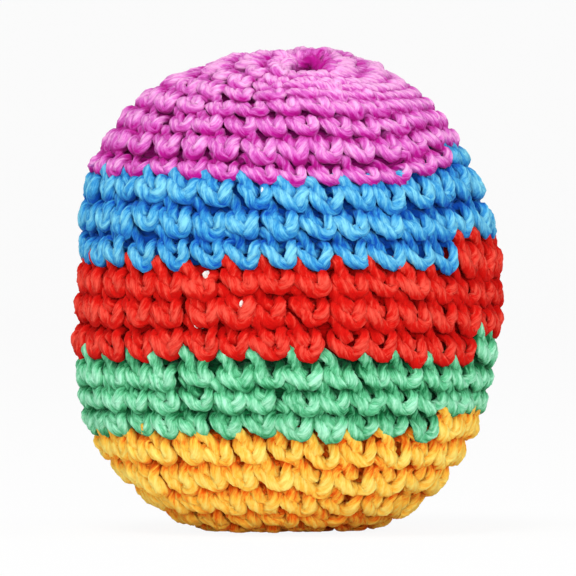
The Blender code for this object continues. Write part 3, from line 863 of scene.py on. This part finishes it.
def clothMaterial():
    # a plain weave: two sets of threads, each a cosine across the cloth, with mottling from wear
    look = Recipe("sackCloth")
    place = look.inSpace()
    parts = look.add("ShaderNodeSeparateXYZ", None, {0: place})
    x, y, z = (Value(look, parts.outputs[i]) * (turn / cloth["thread"]) for i in range(3))
    weave = (x + y).cosine() * z.cosine()
    mottle = look.noise(place, cloth["wearScale"], 3.0)
    shade = look.ramp(stopsOf(cloth, "worn", "clean"), mottle + weave * cloth["weave"])
    return look.cover(shade, cloth, weave,
                      {"Sheen Weight": cloth["sheen"], "Specular IOR Level": cloth["shine"]})


points, faces = join([sackShell()] + [pinch(*each) for each in sack["pinches"]])
liner = wear(meshPiece("sack", points, faces), clothMaterial(), "liner_cloth", "liner_bag")
print("sack:", len(faces), "faces")

# The thread round the sack's neck: a helix of a few turns, whose ends stand out a little
tie = {"turns": 2.3, "radius": 0.0030, "halfHeight": 0.00075, "middle": 0.0581, "thick": 0.5, "steps": 120,
       "endsOut": 0.22, "endsAfter": 0.86, "shaded": (0.25, "BDB7A8"), "lit": (0.75, "EDE9DF"),
       "fibreScale": (24.0, 2.0, 1.0), "bump": 0.4, "dentHeight": 0.0001, "rough": 0.85}


def threadMaterial():
    # a cotton thread: fibre noise drawn out along it
    look = Recipe("tieThread")
    fibre = look.drawnOut(tie["fibreScale"], 3.0, 0.6)
    return look.cover(look.ramp(stopsOf(tie, "shaded", "lit"), fibre), tie, fibre, {})


share = np.linspace(-1, 1, tie["steps"])
angle = share * tie["turns"] * math.pi
loose = np.clip(np.abs(share) - tie["endsAfter"], 0, 1)
reach = tie["radius"] * (1 + tie["endsOut"] * loose / (1 - tie["endsAfter"]))
path = np.stack([reach * np.cos(angle), reach * np.sin(angle), tie["middle"] + share * tie["halfHeight"]], -1)
outward = np.stack([np.cos(angle), np.sin(angle), 0 * angle], -1)
piece = strand("neckThread", path, outward, 0 * share, np.full(tie["steps"], tie["thick"]))
wear(piece, threadMaterial(), "tie_thread", "liner_tie")

# Pellets: lentils packed in staggered layers, each tipped a little; the loose top layer keeps its solids
pellets = {
    "radius": 0.0022, "height": 0.0030, "around": 8, "rings": 5, "tilt": 0.16, "stray": 0.00012,
    "pitch": 0.0047, "layer": 0.0034, "layers": 14, "reach": 8,     # reach is steps of pitch to each side
    "top": 0.0450, "topGap": 0.0001, "fillRadius": 0.0225, "fillRise": 0.0241, "fillDrop": 0.0245,
    "room": 0.0002,
}


def pelletMass():
    # A lentil is a sphere's grid of points flattened along its axis, turned and moved to its place. Places
    # are a hexagonal grid in each layer, layers staggered by half a step, kept inside the sack.
    steps = np.arange(-pellets["reach"], pellets["reach"] + 1)
    k, j, i = np.meshgrid(np.arange(pellets["layers"]), steps, steps, indexing="ij")
    x = pellets["pitch"] * (i + 0.5 * (j % 2) + 0.5 * (k % 2))
    y = pellets["pitch"] * (j * math.sqrt(0.75) + (k % 2) / math.sqrt(12))
    z = pellets["top"] - pellets["height"] / 2 - pellets["topGap"] - pellets["layer"] * k
    place = np.stack([x, y, z], -1).reshape(-1, 3)
    room = pellets["radius"] + pellets["room"]
    middle = np.array([0, 0, waist])
    level = place - middle
    skin = superellipse(unit(level), pellets["fillRadius"] - room, pellets["fillRise"] - room,
                        pellets["fillDrop"] - room)[0]
    inner = np.linalg.norm(drawnIn(skin + middle) - middle, axis=-1)
    place = place[np.linalg.norm(level, axis=-1) < inner]
    place = place + rng.normal(size=place.shape) * pellets["stray"]
    a, rings = pellets["around"], pellets["rings"] - 1
    polar = np.linspace(0, math.pi, pellets["rings"] + 1)[1:-1, None]
    around = turn * np.arange(a) / a
    flat = pellets["height"] / 2 / pellets["radius"]
    shape = np.stack([np.sin(polar) * np.cos(around), np.sin(polar) * np.sin(around),
                      flat * np.cos(polar) + 0 * around], -1).reshape(-1, 3)
    shape = np.concatenate([shape, [[0, 0, flat], [0, 0, -flat]]]) * pellets["radius"]
    tipped = rng.normal(size=(len(place), 2)) * pellets["tilt"]
    axis = unit(np.concatenate([tipped, np.ones((len(place), 1))], -1))
    one = unit(np.cross(axis, [0.2, 1.0, 0.0]))
    two = np.cross(axis, one)
    points = place[:, None] + shape[None, :, :1] * one[:, None] + shape[None, :, 1:2] * two[:, None] \
        + shape[None, :, 2:] * axis[:, None]
    side = gridFaces(a, rings, True, False)[:, ::-1]
    ring = np.arange(a)
    after, foot = (ring + 1) % a, a * (rings - 1)
    caps = np.concatenate([np.stack([np.full(a, a * rings), ring, after], -1),
                           np.stack([np.full(a, a * rings + 1), foot + after, foot + ring], -1)])
    shift = (np.arange(len(place)) * len(shape))[:, None, None]
    faces = (side[None] + shift).reshape(-1, 4).tolist() + (caps[None] + shift).reshape(-1, 3).tolist()
    return points, faces


moulded = {"shaded": (0.3, "E4E3DC"), "lit": (0.8, "F8F8F4"), "flowScale": 260.0, "scuffScale": 2400.0,
           "bump": 0.2, "dentHeight": 0.00005, "rough": 0.25, "scuff": 0.3, "milky": 0.1, "milkyDepth": 0.002}


def plasticMaterial():
    # milky moulded plastic: faint flow marks in its colour, and fine scuffs in its dents and roughness
    look = Recipe("pelletPlastic")
    place = look.inSpace()
    flow = look.noise(place, moulded["flowScale"], 2.0)
    scuff = look.noise(place, moulded["scuffScale"], 2.0)
    return look.cover(look.ramp(stopsOf(moulded, "shaded", "lit"), flow), moulded, scuff,
                      {"Subsurface Weight": moulded["milky"], "Subsurface Scale": moulded["milkyDepth"]},
                      scuff * moulded["scuff"] + moulded["rough"])


plastic = plasticMaterial()
points, faces = pelletMass()
wear(meshPiece("pelletMass", points, faces), plastic, "pellet_plastic", "pellet_mass")
for name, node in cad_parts.items():
    if name.startswith("pellet_") and name != "pellet_mass":
        for place in node.material_slots:
            place.material = plastic
print("pellets:", len(points))


# Stage: a pale floor that curves up into a backdrop, in a white room. Glow is the share of plain light in
# what the camera and reflections see of it.
studio = {"size": 3.0, "back": 1.2, "bend": 0.6, "bendSteps": 24, "rise": 2.4, "tone": 0.90, "glow": 0.92,
          "room": 0.34}


def sweep():
    # a sheet that runs back level, turns up through a quarter circle and rises
    arc = np.linspace(0, math.pi / 2, studio["bendSteps"])
    y = np.concatenate([[-studio["size"]], studio["back"] + studio["bend"] * np.sin(arc)])
    z = np.concatenate([[0.0], studio["bend"] * (1 - np.cos(arc))])
    y, z = np.append(y, y[-1]), np.append(z, studio["rise"])
    x = np.array([-studio["size"], studio["size"]])
    grid = np.stack(np.broadcast_arrays(x[None, :], y[:, None], z[:, None]), -1)
    return meshPiece("studioSweep", grid, gridFaces(2, len(y), False, False))


paper = Recipe("studioPaper")
lit = paper.add("ShaderNodeBsdfDiffuse", None, {"Color": (studio["tone"],) * 3 + (1.0,)})
glow = paper.add("ShaderNodeEmission", None, {"Color": (1, 1, 1, 1), "Strength": 1.0})
rays = paper.add("ShaderNodeLightPath")
seen = [Value(paper, rays.outputs["Is %s Ray" % kind]) for kind in ("Camera", "Glossy", "Transmission")]
cut = (seen[0] + seen[1] + seen[2]) * studio["glow"]
both = paper.add("ShaderNodeMixShader", None, {0: cut, 1: lit.outputs[0], 2: glow.outputs[0]})
floor = sweep()
floor.data.materials.append(paper.finish(both))

# Camera: nearly level with the bag's middle and far off, as the photograph was taken. The frame is 576 pixels
# wide, and the solid cover's widest part spans 423 of them.
view = {"distance": 1.2, "elevation": 1.0, "frameWidth": 0.0761, "aim": (0.0, 0.0, 0.0321), "sensor": 36.0,
        "near": 0.01, "far": 20.0}
lens = bpy.data.cameras.new("photoCamera")
lens.sensor_width = view["sensor"]
lens.lens = view["sensor"] * view["distance"] / view["frameWidth"]
lens.clip_start, lens.clip_end = view["near"], view["far"]
camera = intoScene("photoCamera", lens)
tilt = math.radians(view["elevation"])
camera.location = (view["aim"][0], view["aim"][1] - view["distance"] * math.cos(tilt),
                   view["aim"][2] + view["distance"] * math.sin(tilt))
camera.rotation_euler = (math.pi / 2 - tilt, 0.0, 0.0)
bpy.context.scene.camera = camera

# Lights: a softbox over the front, one low in front, a weaker one at each side, and a white world
lights = [
    {"name": "overhead", "at": (-0.25, -0.65, 1.25), "size": 0.6, "watts": 9.2},
    {"name": "frontLow", "at": (0.10, -1.20, 0.12), "size": 0.8, "watts": 10.2},
    {"name": "leftFill", "at": (-1.0, -0.3, 0.60), "size": 0.6, "watts": 2.0},
    {"name": "rightFill", "at": (1.0, -0.3, 0.60), "size": 0.6, "watts": 3.4},
]
for spot in lights:
    lamp = bpy.data.lights.new(spot["name"], "AREA")
    lamp.shape, lamp.size, lamp.energy = "DISK", spot["size"], spot["watts"]
    holder = intoScene(spot["name"], lamp)
    holder.location = spot["at"]
    aim = np.array(view["aim"]) - np.array(spot["at"])
    down, round2 = math.atan2(math.hypot(aim[0], aim[1]), -aim[2]), math.atan2(-aim[0], aim[1])
    holder.rotation_euler = (down, 0.0, round2)
world = bpy.data.worlds.new("whiteRoom")
world.use_nodes = True
world.node_tree.nodes["Background"].inputs["Color"].default_value = (1, 1, 1, 1)
world.node_tree.nodes["Background"].inputs["Strength"].default_value = studio["room"]
bpy.context.scene.world = world
bpy.context.scene.view_settings.view_transform = "Standard"
print("studio done")
